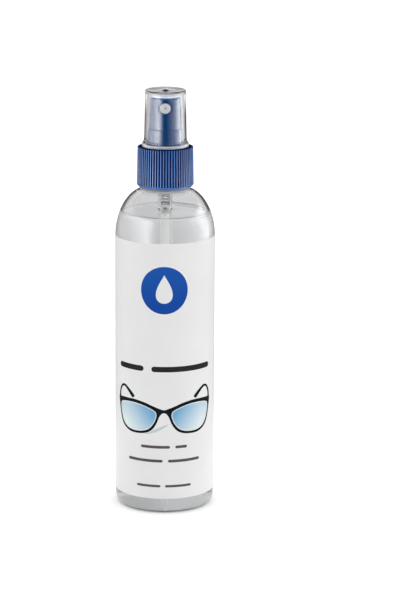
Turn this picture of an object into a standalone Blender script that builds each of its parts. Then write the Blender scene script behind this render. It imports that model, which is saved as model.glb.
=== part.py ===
"""Fine-mist spray bottle for lens cleaning fluid, as an assembly of separate moulded parts.

A clear round bottle stands on its foot ring at z = 0, with its axis on +Z and the nozzle facing -Y.
The pump hangs in the neck: a ribbed screw collar pulls the tower's flange, the pump housing and a
gasket down on the neck's land. The button, the stem and the valve pin push the piston down against the
return spring. Every radius and height below is in millimetres, and helpers turn them into metres.
"""

import math

import bmesh
import bpy
from mathutils import Matrix, Vector

MM = 0.001
TAU = 2 * math.pi

# --- driving dimensions, in millimetres ---------------------------------------------------------
BODY_R = 24.10            # bottle's outer radius
WALL = 0.60               # bottle's wall
REST_GAP = 0.30           # air between two parts that rest on each other
RUN_GAP = 0.15            # air around a part that slides in another

FOOT_R_IN, FOOT_R_OUT = 18.6, 20.6   # flat ring that the bottle stands on
HEEL_TOP = 5.0                       # where the rounded heel meets the straight wall
PUSH_UP = 4.2                        # height of the hollow under the base
BASE_WALL = 0.8
SHOULDER_LOW, SHOULDER_TOP = 133.1, 156.4
SHOULDER_RISE, SHOULDER_FALL = 2.10, 1.64   # exponents of the shoulder's superellipse
SHOULDER_R = 11.56                   # radius where the shoulder runs into the neck ring
FILL_LEVEL = 145.3
FLUID_GAP = 0.30                     # how far the solid that stands for the fluid keeps off the wall
WELL_R = 3.3                         # its open well, at the surface, around the pump's tail

# 24-410 neck: outer thread radius, root radius and thread pitch of the common 24 mm finish
NECK_TOP = 171.6
NECK_BORE_R = 8.3
NECK_ROOT_R = 10.75
THREAD_CREST_R = 11.85
THREAD_PITCH = 3.175
THREAD_TURNS = 1.5
THREAD_R = 0.80                      # half the width of the rounded thread ridge

LABEL_LOW, LABEL_TOP = 7.6, 134.2
LABEL_GAP, LABEL_THICK = 0.08, 0.14

COLLAR_LOW, COLLAR_TOP = 157.4, 177.1
COLLAR_R_LOW, COLLAR_R_TOP = 13.8, 13.4   # over the ribs: the collar tapers
RIB_COUNT, RIB_DEPTH, RIB_WIDTH = 64, 0.45, 0.70
COLLAR_BORE_R = 12.05
DECK_THICK = 1.4
DECK_HOLE_R = 9.15
COLLAR_THREAD_R = 0.55
COLLAR_THREAD_TURNS = 1.25

TOWER_TOP = 186.1
TOWER_R_LOW, TOWER_R_TOP = 8.8, 8.4
TOWER_BORE_R = 7.9
STROKE = 4.8                         # full travel of the button

BUTTON_LOW, BUTTON_TOP = 183.0, 201.4
BUTTON_R_LOW, BUTTON_R_TOP = 7.7, 7.4
NOZZLE_Z = 196.5
NOZZLE_R = 2.7

CAP_TOP = 204.6
CAP_R_TOP, CAP_R_LOW, CAP_FLANGE_R = 9.75, 10.2, 11.35

STEM_R, STEM_BORE_R = 1.90, 0.95
BARREL_R, BARREL_BORE_R = 3.5, 2.6
TUBE_R, TUBE_BORE_R = 1.50, 0.80
TUBE_LOW = 6.4
BALL_R = 1.40

BIG, MEDIUM, SMALL = 40, 28, 20      # sides of large, medium and small turned parts

COLOURS = {                           # kind: (red, green, blue, alpha), roughness, metallic
    "clear_pet": ((0.93, 0.94, 0.95, 0.30), 0.05, 0.0),
    "clear_pp": ((0.95, 0.95, 0.95, 0.30), 0.08, 0.0),
    "fluid": ((0.90, 0.93, 0.95, 0.25), 0.02, 0.0),
    "label_film": ((0.90, 0.90, 0.90, 1.0), 0.45, 0.0),
    "blue_pp": ((0.035, 0.105, 0.36, 1.0), 0.35, 0.0),
    "white_pom": ((0.85, 0.87, 0.86, 1.0), 0.35, 0.0),
    "natural_pp": ((0.80, 0.81, 0.80, 0.60), 0.30, 0.0),
    "natural_pe": ((0.86, 0.86, 0.84, 0.80), 0.40, 0.0),
    "steel": ((0.62, 0.62, 0.62, 1.0), 0.25, 1.0),
}


# --- helpers ------------------------------------------------------------------------------------
def clear_scene():
    for obj in list(bpy.data.objects):
        bpy.data.objects.remove(obj)


def collection(name):
    made = bpy.data.collections.new(name)
    bpy.context.scene.collection.children.link(made)
    return made


def material(part, kind):
    """The part's own material, in one of the kinds of plastic, film, fluid or steel above."""
    colour, roughness, metallic = COLOURS[kind]
    made = bpy.data.materials.new(part + "_" + kind)
    made.use_nodes = True
    shader = made.node_tree.nodes["Principled BSDF"]
    shader.inputs["Base Color"].default_value = colour
    shader.inputs["Roughness"].default_value = roughness
    shader.inputs["Metallic"].default_value = metallic
    shader.inputs["Alpha"].default_value = colour[3]
    made.diffuse_color = colour
    return made


def baked(obj, weld=False):
    """Replaces an object by its evaluated mesh, so that a Boolean can use it."""
    bpy.context.view_layer.update()
    graph = bpy.context.evaluated_depsgraph_get()
    mesh = bpy.data.meshes.new_from_object(obj.evaluated_get(graph))
    made = bpy.data.objects.new(obj.name + "_mesh", mesh)
    made.matrix_world = obj.matrix_world
    for owner in obj.users_collection:
        owner.objects.link(made)
    name = obj.name
    bpy.data.objects.remove(obj)
    made.name = name
    if weld:
        shape = bmesh.new()
        shape.from_mesh(mesh)
        bmesh.ops.remove_doubles(shape, verts=shape.verts, dist=0.002 * MM)
        bmesh.ops.recalc_face_normals(shape, faces=shape.faces)
        shape.to_mesh(mesh)
        shape.free()
    return made


def finish(obj, kind):
    """Gives a finished part its material and its smooth shading."""
    obj.data.materials.clear()
    obj.data.materials.append(material(obj.name, kind))
    obj.data.shade_smooth()
    obj.data.set_sharp_from_angle(angle=math.radians(30))
    return obj


def turned(name, outline, sides, owner, closed=True, turn=0.0):
    """A solid of revolution. outline lists (radius, height) down its outer side and up its inner side."""
    mesh = bpy.data.meshes.new(name)
    points = [(r * MM, 0, z * MM) for r, z in outline]
    edges = [(i, i + 1) for i in range(len(points) - 1)]
    if closed:
        edges.append((len(points) - 1, 0))
    mesh.from_pydata(points, edges, [])
    obj = bpy.data.objects.new(name, mesh)
    owner.objects.link(obj)
    screw = obj.modifiers.new("turn", "SCREW")
    screw.steps = screw.render_steps = sides
    screw.use_merge_vertices = True
    screw.merge_threshold = 0.001 * MM
    obj.rotation_euler.z = turn
    return baked(obj)


def cylinder(name, radius, low, high, sides, owner, axis="Z", across=(0.0, 0.0)):
    """A plain cylinder from low to high along an axis, with its centre line at across."""
    bpy.ops.mesh.primitive_cylinder_add(
        vertices=sides, radius=radius * MM, depth=(high - low) * MM
    )
    obj = bpy.context.object
    for old in obj.users_collection:
        old.objects.unlink(obj)
    owner.objects.link(obj)
    obj.name = name
    middle = (low + high) / 2 * MM
    a, b = (v * MM for v in across)
    if axis == "Z":
        obj.location = (a, b, middle)
    else:
        obj.rotation_euler.x = math.radians(90)
        obj.location = (a, middle, b)
    return obj


def helper(obj):
    """Hides a cutter or a joined piece from the model."""
    obj.hide_render = True
    obj.display_type = "WIRE"
    return obj


def boolean(obj, other, operation):
    cut = obj.modifiers.new(operation.lower(), "BOOLEAN")
    cut.operation = operation
    cut.object = helper(other)
    return obj


def helix(name, radius, ridge, start_z, turns, start_angle, pitch, owner, per_turn=20, taper=True):
    """A round wire or thread ridge along a right-handed helix that climbs from start_z."""
    curve = bpy.data.curves.new(name, "CURVE")
    curve.dimensions = "3D"
    curve.bevel_depth = ridge * MM
    curve.bevel_resolution = 1
    curve.use_fill_caps = True
    spline = curve.splines.new("POLY")
    count = round(turns * per_turn) + 1
    spline.points.add(count - 1)
    for i, point in enumerate(spline.points):
        share = i / (count - 1)
        angle = start_angle + share * turns * TAU
        height = start_z + (pitch(share) if callable(pitch) else pitch * share * turns)
        point.co = (
            radius * math.cos(angle) * MM,
            radius * math.sin(angle) * MM,
            height * MM,
            1,
        )
        if taper:
            run_out = min(share, 1 - share) * turns * per_turn / 3
            point.radius = 0.45 + 0.55 * min(1.0, run_out)
    obj = bpy.data.objects.new(name, curve)
    owner.objects.link(obj)
    return baked(obj, weld=True)


def arc(centre, radii, from_deg, to_deg, steps):
    """Points of an elliptical arc in the (radius, height) plane, ends included."""
    found = []
    for i in range(steps + 1):
        angle = math.radians(from_deg + (to_deg - from_deg) * i / steps)
        found.append(
            (centre[0] + radii[0] * math.cos(angle), centre[1] + radii[1] * math.sin(angle))
        )
    return found


# --- bottle, fluid and label --------------------------------------------------------------------
def shoulder_radius(z):
    share = (z - SHOULDER_LOW) / (SHOULDER_TOP - SHOULDER_LOW)
    rise = (1 - share**SHOULDER_RISE) ** (1 / SHOULDER_FALL)
    return SHOULDER_R + (BODY_R - SHOULDER_R) * rise


def shoulder(inset, top, steps):
    """Points down the shoulder from top, moved inwards by inset."""
    found = []
    for i in range(steps + 1):
        share = (1 - math.cos(math.pi / 2 * i / steps))  # closer together near the top
        z = top - (top - SHOULDER_LOW) * share
        found.append((shoulder_radius(z) - inset(z), z))
    return found


def base_hollow(height, lift, steps, radius):
    """Points of the domed base, from its edge to the axis."""
    found = []
    for i in range(steps + 1):
        r = radius * (1 - i / steps)
        found.append((r, lift + height * math.cos(math.pi / 2 * r / radius) ** 0.8))
    return found


def inner_wall():
    """Points of the bottle's inside, from the middle of its base up to the mouth."""
    thicken = 0.9 / (SHOULDER_TOP - SHOULDER_LOW)
    return [
        (0.0, PUSH_UP + BASE_WALL),
        *reversed(base_hollow(PUSH_UP, BASE_WALL, 5, FOOT_R_IN - 0.5)[1:-1]),
        (FOOT_R_OUT - 1.2, BASE_WALL),
        *arc(
            (FOOT_R_OUT - 0.4, HEEL_TOP),
            (BODY_R - WALL - FOOT_R_OUT + 0.4, HEEL_TOP - BASE_WALL),
            -80, 0, 5,
        ),
        *reversed(shoulder(lambda z: WALL + thicken * (z - SHOULDER_LOW), SHOULDER_TOP - 1.5, 8)),
        (NECK_BORE_R, SHOULDER_TOP + 1.2),
        (NECK_BORE_R, NECK_TOP - 0.2),
        (NECK_BORE_R + 0.2, NECK_TOP),
    ]


def offset(points, distance):
    """The same run of points moved to its left-hand side by distance, with mitred corners."""
    found = []
    for i, point in enumerate(points):
        before = Vector(point) - Vector(points[max(i - 1, 0)])
        after = Vector(points[min(i + 1, len(points) - 1)]) - Vector(point)
        before, after = (side.normalized() for side in (before or after, after or before))
        along = (before + after).normalized()
        reach = distance / max(0.5, along.dot(before))
        found.append((max(0.0, point[0] - along.y * reach), point[1] + along.x * reach))
    return found


def make_bottle(parts, cutters):
    ring_low, ring_top = SHOULDER_TOP, SHOULDER_TOP + 0.7
    outer = [
        (NECK_ROOT_R - 0.3, NECK_TOP),
        (NECK_ROOT_R, NECK_TOP - 0.3),
        (NECK_ROOT_R, ring_top + 0.5),
        (12.0, ring_top),
        (12.2, ring_low + 0.3),
        *shoulder(lambda z: 0.0, ring_low, 9),
        *reversed(arc((FOOT_R_OUT, HEEL_TOP), (BODY_R - FOOT_R_OUT, HEEL_TOP), -90, 0, 5)),
        (FOOT_R_IN, 0.0),
        *base_hollow(PUSH_UP, 0.0, 5, FOOT_R_IN - 0.3)[:-1],
        (1.6, PUSH_UP - 0.1),
        (1.4, PUSH_UP - 0.9),
        (0.0, PUSH_UP - 0.9),
    ]
    bottle = turned("bottle", outer + inner_wall(), BIG, parts, turn=math.pi / BIG)
    thread_low = NECK_TOP - 2.0 - THREAD_PITCH * THREAD_TURNS
    ridge = helix(
        "neck_thread", THREAD_CREST_R - THREAD_R, THREAD_R, thread_low,
        THREAD_TURNS, 0.0, THREAD_PITCH, cutters,
    )
    return finish(baked(boolean(bottle, ridge, "UNION")), "clear_pet")


def make_fluid(parts):
    """The fill, standing a little clear of the bottle, with a well around the pump's tail and tube."""
    wall = offset(inner_wall(), FLUID_GAP)
    wet = [point for point in wall if point[1] < FILL_LEVEL - 0.3]
    (r_low, z_low), (r_high, z_high) = wall[len(wet) - 1], wall[len(wet)]
    edge = r_low + (r_high - r_low) * (FILL_LEVEL - z_low) / (z_high - z_low)
    outline = [
        (WELL_R, FILL_LEVEL),
        (edge, FILL_LEVEL),
        *reversed(wet[1:]),
        (0.0, wet[0][1]),
        (0.0, TUBE_LOW - REST_GAP),
        (TUBE_R + REST_GAP, TUBE_LOW - REST_GAP),
        (TUBE_R + REST_GAP, SOCKET_LOW - 0.6),
        (2.4 + REST_GAP, SOCKET_LOW - 0.3),
        (2.4 + REST_GAP, 144.7),
    ]
    return finish(turned("cleaning_fluid", outline, BIG, parts, turn=math.pi / BIG), "fluid")


def make_label(parts):
    """A wrap-around film that leaves one facet's width free at the back of the bottle."""
    sides = BIG - 1
    mesh = bpy.data.meshes.new("label")
    radius = BODY_R + LABEL_GAP
    mesh.from_pydata(
        [(radius * MM, 0, LABEL_TOP * MM), (radius * MM, 0, LABEL_LOW * MM)], [(0, 1)], []
    )
    label = bpy.data.objects.new("label", mesh)
    parts.objects.link(label)
    screw = label.modifiers.new("wrap", "SCREW")
    screw.steps = screw.render_steps = sides
    screw.angle = TAU * sides / BIG
    film = label.modifiers.new("film", "SOLIDIFY")
    film.thickness = LABEL_THICK * MM
    film.offset = 1.0
    label.rotation_euler.z = math.pi / 2 + math.pi / BIG
    return finish(baked(label), "label_film")


# --- collar, tower and gasket -------------------------------------------------------------------
def collar_radius(z):
    share = (z - COLLAR_LOW) / (COLLAR_TOP - COLLAR_LOW)
    return COLLAR_R_LOW + (COLLAR_R_TOP - COLLAR_R_LOW) * share


def collar_ribs(low, high, cutters):
    """One mesh with a straight rib at each facet, leaning in with the collar's taper."""
    mesh = bpy.data.meshes.new("collar_ribs")
    shape = bmesh.new()
    depth = RIB_DEPTH + 0.35
    middle = (low + high) / 2
    lean = math.atan((collar_radius(low) - collar_radius(high)) / (high - low))
    for i in range(RIB_COUNT):
        place = (
            Matrix.Rotation(TAU * (i + 0.5) / RIB_COUNT, 4, "Z")
            @ Matrix.Translation(Vector((collar_radius(middle) - depth / 2, 0, middle)) * MM)
            @ Matrix.Rotation(-lean, 4, "Y")
            @ Matrix.Diagonal(Vector((depth, RIB_WIDTH, high - low)) * MM).to_4x4()
        )
        bmesh.ops.create_cube(shape, size=1.0, matrix=place)
    for vertex in shape.verts:  # narrow the crest, and slope its two ends back
        radius = vertex.co.xy.length / MM
        if radius > collar_radius(vertex.co.z / MM) - RIB_DEPTH / 2:
            angle = math.atan2(vertex.co.y, vertex.co.x)
            pitch = TAU / RIB_COUNT
            centre = (math.floor(angle / pitch) + 0.5) * pitch
            narrowed = centre + (angle - centre) * 0.45
            end = 1 if vertex.co.z / MM > middle else -1
            vertex.co = (
                radius * math.cos(narrowed) * MM,
                radius * math.sin(narrowed) * MM,
                vertex.co.z - end * 0.35 * MM,
            )
    shape.to_mesh(mesh)
    shape.free()
    ribs = bpy.data.objects.new("collar_ribs", mesh)
    cutters.objects.link(ribs)
    return ribs


def make_collar(parts, cutters):
    root_low = collar_radius(COLLAR_LOW + 1.7) - RIB_DEPTH
    root_top = collar_radius(COLLAR_TOP - 0.5) - RIB_DEPTH
    deck_low = COLLAR_TOP - DECK_THICK
    outline = [
        (DECK_HOLE_R, COLLAR_TOP),
        (COLLAR_R_TOP - 0.25, COLLAR_TOP),
        (COLLAR_R_TOP, COLLAR_TOP - 0.30),
        (COLLAR_R_TOP, COLLAR_TOP - 0.55),
        (root_top, COLLAR_TOP - 0.75),
        (root_low, COLLAR_LOW + 2.05),
        (COLLAR_R_LOW, COLLAR_LOW + 1.75),
        (COLLAR_R_LOW - 0.05, COLLAR_LOW + 1.45),
        (COLLAR_BORE_R + 0.75, COLLAR_LOW),
        (COLLAR_BORE_R + 0.20, COLLAR_LOW),
        (COLLAR_BORE_R, COLLAR_LOW + 0.6),
        (COLLAR_BORE_R, deck_low),
        (DECK_HOLE_R, deck_low),
    ]
    collar = turned("screw_collar", outline, RIB_COUNT, parts)
    ribs = collar_ribs(COLLAR_LOW + 1.6, COLLAR_TOP - 0.4, cutters)
    thread_start = NECK_TOP - 2.0 - THREAD_PITCH * (COLLAR_THREAD_TURNS + 0.5)
    ridge = helix(
        "collar_thread", COLLAR_BORE_R - 0.35, COLLAR_THREAD_R, thread_start,
        COLLAR_THREAD_TURNS, (THREAD_TURNS - COLLAR_THREAD_TURNS) * TAU, THREAD_PITCH, cutters,
    )
    collar = baked(boolean(collar, ridge, "UNION"))
    return finish(baked(boolean(collar, ribs, "UNION")), "blue_pp")


def make_tower(parts):
    """Retainer whose flange the collar holds down, and whose chimney guides the button and the overcap."""
    deck_low = COLLAR_TOP - DECK_THICK
    flange_top = deck_low - REST_GAP
    flange_low = flange_top - 1.1
    bead = COLLAR_TOP + 1.9
    outline = [
        (TOWER_BORE_R + 0.10, TOWER_TOP),
        (TOWER_R_TOP - 0.15, TOWER_TOP),
        (TOWER_R_TOP, TOWER_TOP - 0.2),
        (TOWER_R_LOW - 0.05, bead + 0.6),
        (TOWER_R_LOW + 0.2, bead),
        (TOWER_R_LOW, bead - 0.6),
        (TOWER_R_LOW, flange_top),
        (10.4, flange_top),
        (10.4, flange_low - 1.1),
        (9.8, flange_low - 1.1),
        (9.8, flange_low),
        (STEM_R + 0.3, flange_low),
        (STEM_R + 0.3, flange_top),
        (TOWER_BORE_R, flange_top),
        (TOWER_BORE_R, TOWER_TOP - 0.2),
    ]
    return finish(turned("pump_tower", outline, BIG, parts), "blue_pp")


def make_gasket(parts):
    low = NECK_TOP + REST_GAP
    outline = [(10.4, low + 0.8), (10.4, low), (8.6, low), (8.6, low + 0.8)]
    return finish(turned("neck_gasket", outline, MEDIUM, parts), "natural_pe")


# --- pump ---------------------------------------------------------------------------------------
HOUSING_TOP = 174.0
CUP_FLOOR = 166.5
SPRING_SEAT = 148.0
BALL_SEAT_TOP, BALL_SEAT_LOW = 145.6, 144.4
SOCKET_TOP, SOCKET_LOW = 144.0, 141.5
GUIDE_NOSE = 165.4
STEM_SHOULDER = GUIDE_NOSE - 0.2
PIN_HEAD_TOP = 159.4
PIN_HEAD_LOW = 158.2
PISTON_LOW, PISTON_TOP = 159.6, 163.2
SLIP = 0.8                           # how far the piston can slip up the pin to open the outlet


def make_housing(parts, cutters):
    outline = [
        (9.5, HOUSING_TOP),
        (9.5, HOUSING_TOP - 1.0),
        (6.2, HOUSING_TOP - 1.0),
        (6.2, CUP_FLOOR - 0.7),
        (5.6, CUP_FLOOR - 1.3),
        (BARREL_R, CUP_FLOOR - 1.3),
        (BARREL_R, 146.4),
        (2.4, 144.8),
        (2.4, SOCKET_LOW + 0.3),
        (2.2, SOCKET_LOW),
        (TUBE_R + 0.3, SOCKET_LOW),
        (TUBE_R + 0.1, SOCKET_LOW + 0.4),
        (TUBE_R + 0.1, SOCKET_TOP),
        (TUBE_BORE_R, SOCKET_TOP),
        (TUBE_BORE_R, BALL_SEAT_LOW),
        (1.75, BALL_SEAT_TOP),
        (1.75, SPRING_SEAT),
        (BARREL_BORE_R, SPRING_SEAT),
        (BARREL_BORE_R, CUP_FLOOR),
        (5.0, CUP_FLOOR),
        (5.0, HOUSING_TOP),
    ]
    housing = turned("pump_housing", outline, MEDIUM, parts)
    vent = cylinder("vent", 0.35, -5.0, -2.0, 10, cutters, axis="Y", across=(0.0, 164.6))
    return finish(baked(boolean(housing, vent, "DIFFERENCE")), "natural_pp")


def make_guide(parts):
    outline = [
        (4.8, HOUSING_TOP - 0.2),
        (4.8, CUP_FLOOR + 0.3),
        (2.45, CUP_FLOOR + 0.3),
        (2.45, GUIDE_NOSE),
        (STEM_R + RUN_GAP, GUIDE_NOSE),
        (STEM_R + RUN_GAP, 172.4),
        (2.8, 172.4),
        (2.8, CUP_FLOOR + 1.5),
        (4.1, CUP_FLOOR + 1.5),
        (4.1, HOUSING_TOP - 0.2),
    ]
    return finish(turned("stem_guide", outline, MEDIUM, parts), "natural_pp")


def make_stem_gasket(parts):
    low, high = 172.7, 173.9
    inner = STEM_R + 0.1
    outline = [(3.8, high), (3.8, low), (inner, low), (inner, high)]
    return finish(turned("stem_gasket", outline, MEDIUM, parts), "natural_pe")


def make_stem(parts):
    top = 193.7
    outline = [
        (STEM_R - 0.3, top),
        (STEM_R, top - 0.5),
        (STEM_R, STEM_SHOULDER),
        (2.35, STEM_SHOULDER),
        (2.35, STEM_SHOULDER - 1.0),
        (STEM_BORE_R, STEM_SHOULDER - 1.0),
        (STEM_BORE_R, top),
    ]
    return finish(turned("pump_stem", outline, SMALL, parts), "white_pom")


def make_piston(parts):
    outline = [
        (2.48, PISTON_TOP),
        (2.48, PISTON_TOP - 0.35),
        (2.25, PISTON_TOP - 1.0),
        (2.25, PISTON_LOW + 1.0),
        (2.48, PISTON_LOW + 0.35),
        (2.48, PISTON_LOW),
        (2.25, PISTON_LOW),
        (2.05, PISTON_LOW + 0.4),
        (1.00, PISTON_LOW + 0.4),
        (1.00, PISTON_LOW + 1.2),
        (1.90, PISTON_LOW + 1.2),
        (1.90, PISTON_TOP - 0.4),
        (2.20, PISTON_TOP),
    ]
    return finish(turned("piston_seal", outline, MEDIUM, parts), "natural_pe")


def make_valve_pin(parts):
    outline = [
        (0.0, 173.6),
        (0.55, 173.6),
        (0.80, 173.2),
        (0.80, PIN_HEAD_TOP + 0.2),
        (1.40, PIN_HEAD_TOP),
        (2.30, PIN_HEAD_TOP - 0.2),
        (2.30, PIN_HEAD_LOW),
        (1.45, PIN_HEAD_LOW),
        (1.30, PIN_HEAD_LOW - 2.2),
        (0.90, PIN_HEAD_LOW - 2.6),
        (0.0, PIN_HEAD_LOW - 2.6),
    ]
    pin = turned("valve_pin", outline, SMALL, parts, closed=False)
    return finish(pin, "white_pom")


def spring_rise(length, wire, turns):
    """Height along a spring whose first and last turns lie closed."""
    closed = wire * 2.25
    def rise(share):
        wound = share * turns
        if wound < 1:
            return wound * closed
        if wound > turns - 1:
            return length - (turns - wound) * closed
        return closed + (wound - 1) / (turns - 2) * (length - 2 * closed)
    return rise


def make_spring(name, radius, wire, low, high, turns, parts, per_turn):
    """A wire spring with closed ends, between low and high over its whole wire."""
    length = high - low - 2 * wire
    spring = helix(
        name, radius, wire, low + wire, turns, 0.0, spring_rise(length, wire, turns),
        parts, per_turn=per_turn, taper=False,
    )
    return finish(spring, "steel")


def make_ball(parts):
    seat_slope = math.atan((1.75 - TUBE_BORE_R) / (BALL_SEAT_TOP - BALL_SEAT_LOW))
    apex = BALL_SEAT_LOW - TUBE_BORE_R / math.tan(seat_slope)
    centre = apex + (BALL_R + 0.12) / math.sin(seat_slope)
    bpy.ops.mesh.primitive_uv_sphere_add(
        segments=20, ring_count=12, radius=BALL_R * MM, location=(0, 0, centre * MM)
    )
    ball = bpy.context.object
    for old in ball.users_collection:
        old.objects.unlink(ball)
    parts.objects.link(ball)
    ball.name = "check_ball"
    return finish(ball, "steel")


def make_dip_tube(parts, cutters):
    top = SOCKET_TOP - 0.25
    outline = [(TUBE_R, top), (TUBE_R, TUBE_LOW), (TUBE_BORE_R, TUBE_LOW), (TUBE_BORE_R, top)]
    tube = turned("dip_tube", outline, SMALL, parts)
    notch = cylinder("tube_notch", 1.6, -4.0, 4.0, 4, cutters, axis="Y", across=(0.0, TUBE_LOW - 0.3))
    return finish(baked(boolean(tube, notch, "DIFFERENCE")), "natural_pe")


# --- button, nozzle and overcap -----------------------------------------------------------------
def button_radius(z):
    share = (z - 186.1) / (BUTTON_TOP - 186.1)
    return BUTTON_R_LOW + (BUTTON_R_TOP - BUTTON_R_LOW) * share


def make_button(parts, cutters):
    ceiling = BUTTON_TOP - 1.9
    shell = [
        (0.0, BUTTON_TOP - 0.7),
        (3.6, BUTTON_TOP - 0.55),
        (5.9, BUTTON_TOP - 0.1),
        (6.4, BUTTON_TOP),
        *[(button_radius(BUTTON_TOP) - 0.6 + 0.6 * math.sin(a), BUTTON_TOP - 0.6 + 0.6 * math.cos(a))
          for a in (0.4, 0.9, 1.35)],
        (button_radius(186.1), 186.1),
        (BUTTON_R_LOW, BUTTON_LOW + 0.2),
        (BUTTON_R_LOW - 0.2, BUTTON_LOW),
        (6.85, BUTTON_LOW),
        (6.55, ceiling),
        (3.3, ceiling),
        (3.3, 184.6),
        (STEM_R + 0.35, 184.6),
        (STEM_R + 0.1, 185.2),
        (STEM_R + 0.1, 194.0),
        (0.0, 194.0),
    ]
    button = turned("actuator_button", shell, BIG, parts, closed=False)
    boss = cylinder("nozzle_boss", 3.45, -7.0, -2.6, 24, cutters, axis="Y", across=(0.0, NOZZLE_Z - 0.2))
    button = baked(boolean(button, boss, "UNION"))
    pocket = turned(
        "nozzle_pocket",
        [(NOZZLE_R + 0.1, 3.0), (NOZZLE_R + 0.1, -3.6), (1.55, -3.6), (1.55, -1.4), (0.0, -1.4), (0.0, 3.0)],
        SMALL, cutters, closed=True,
    )
    pocket.rotation_euler.x = math.radians(90)
    pocket.location = (0, -button_radius(NOZZLE_Z) * MM, NOZZLE_Z * MM)
    channel = cylinder("channel", 0.6, -6.2, 0.0, 12, cutters, axis="Y", across=(0.0, NOZZLE_Z))
    riser = cylinder("riser", 0.6, 193.0, NOZZLE_Z + 0.5, 12, cutters)
    for cutter in (pocket, riser, channel):
        button = baked(boolean(button, cutter, "DIFFERENCE"))
    return finish(button, "blue_pp")


def make_nozzle(parts):
    """Swirl insert: a cup over the button's post, with a fine orifice in a dished face."""
    outline = [
        (0.22, -0.55),
        (0.75, -0.12),
        (0.95, 0.0),
        (1.55, 0.0),
        (1.70, -0.15),
        (1.85, 0.0),
        (NOZZLE_R - 0.35, 0.0),
        (NOZZLE_R, -0.35),
        (NOZZLE_R, -3.3),
        (1.75, -3.3),
        (1.75, -1.2),
        (0.22, -1.2),
    ]
    nozzle = turned("nozzle_insert", outline, SMALL, parts)
    nozzle.rotation_euler.x = math.radians(90)
    nozzle.location = (0, -(button_radius(NOZZLE_Z) + 0.05) * MM, NOZZLE_Z * MM)
    return finish(nozzle, "white_pom")


def make_overcap(parts, cutters):
    low = COLLAR_TOP + REST_GAP
    inner_top = CAP_TOP - 1.2
    outline = [
        (0.0, CAP_TOP - 0.4),
        (0.6, CAP_TOP - 0.4),
        (0.8, CAP_TOP - 0.75),
        (1.9, CAP_TOP - 0.75),
        (2.5, CAP_TOP - 0.25),
        (2.7, CAP_TOP),
        (CAP_R_TOP - 0.45, CAP_TOP),
        (CAP_R_TOP - 0.12, CAP_TOP - 0.14),
        (CAP_R_TOP, CAP_TOP - 0.50),
        (CAP_R_LOW, low + 3.6),
        (CAP_R_LOW + 0.45, low + 2.2),
        (CAP_FLANGE_R, low + 1.3),
        (CAP_FLANGE_R, low),
        (CAP_FLANGE_R - 1.1, low),
        (9.45, low + 1.3),
        (9.35, low + 2.2),
        (8.85, inner_top - 0.4),
        (8.45, inner_top),
        (0.0, inner_top),
    ]
    cap = turned("overcap", outline, BIG, parts, closed=False)
    shape = bmesh.new()
    rib_low, rib_top = low + 1.5, low + 8.0
    for i in range(8):  # short ribs inside the mouth, which grip the tower
        place = (
            Matrix.Rotation(TAU * (i + 0.5) / 8, 4, "Z")
            @ Matrix.Translation(Vector((9.37, 0, (rib_low + rib_top) / 2)) * MM)
            @ Matrix.Diagonal(Vector((0.5, 0.5, rib_top - rib_low)) * MM).to_4x4()
        )
        bmesh.ops.create_cube(shape, size=1.0, matrix=place)
    mesh = bpy.data.meshes.new("cap_ribs")
    shape.to_mesh(mesh)
    shape.free()
    ribs = bpy.data.objects.new("cap_ribs", mesh)
    cutters.objects.link(ribs)
    return finish(baked(boolean(cap, ribs, "UNION")), "clear_pp")


# --- assembly -----------------------------------------------------------------------------------
BODIES = {   # body: (the body that carries it, height of its joint in millimetres, its parts)
    "bottle_body": (None, 0.0, ["bottle", "label", "cleaning_fluid"]),
    "pump_body": ("bottle_body", NECK_TOP, [
        "pump_tower", "pump_housing", "neck_gasket", "stem_guide", "stem_gasket", "dip_tube",
        "return_spring",
    ]),
    "collar_body": ("pump_body", (COLLAR_LOW + COLLAR_TOP) / 2, ["screw_collar"]),
    "overcap_body": ("pump_body", COLLAR_TOP, ["overcap"]),
    "plunger_body": ("pump_body", STEM_SHOULDER, ["pump_stem", "valve_pin", "piston_spring"]),
    "piston_body": ("plunger_body", PISTON_LOW, ["piston_seal"]),
    "ball_body": ("pump_body", BALL_SEAT_TOP, ["check_ball"]),
    "button_body": ("plunger_body", 192.0, ["actuator_button", "nozzle_insert"]),
}


def assemble(parts):
    """Hangs each part on an empty that stands on its joint's axis, and each empty on its carrier."""
    empties = {}
    for body, (carrier, height, members) in BODIES.items():
        empty = bpy.data.objects.new(body, None)
        empty.empty_display_size = 10 * MM
        parts.objects.link(empty)
        above = BODIES[carrier][1] if carrier else 0.0
        empty.parent = empties.get(carrier)
        empty.location.z = (height - above) * MM
        empties[body] = empty
        for name in members:
            part = bpy.data.objects[name]
            part.parent = empty
            part.location.z -= height * MM


def main():
    clear_scene()
    parts = collection("spray_bottle")
    cutters = collection("cutters")
    make_bottle(parts, cutters)
    make_fluid(parts)
    make_label(parts)
    make_collar(parts, cutters)
    make_tower(parts)
    make_gasket(parts)
    make_housing(parts, cutters)
    make_guide(parts)
    make_stem_gasket(parts)
    make_stem(parts)
    make_piston(parts)
    make_valve_pin(parts)
    make_spring("return_spring", 2.2, 0.225, SPRING_SEAT + 0.2, PIN_HEAD_LOW - 0.2, 8, parts, 12)
    make_spring(
        "piston_spring", 1.40, 0.14, PISTON_LOW + 1.4, STEM_SHOULDER - 1.2, 5, parts, 10
    )
    make_ball(parts)
    make_dip_tube(parts, cutters)
    make_button(parts, cutters)
    make_nozzle(parts)
    make_overcap(parts, cutters)
    assemble(parts)


main()
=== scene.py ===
import math

import bmesh
import bpy
import numpy as np
from mathutils import Matrix, Vector


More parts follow.
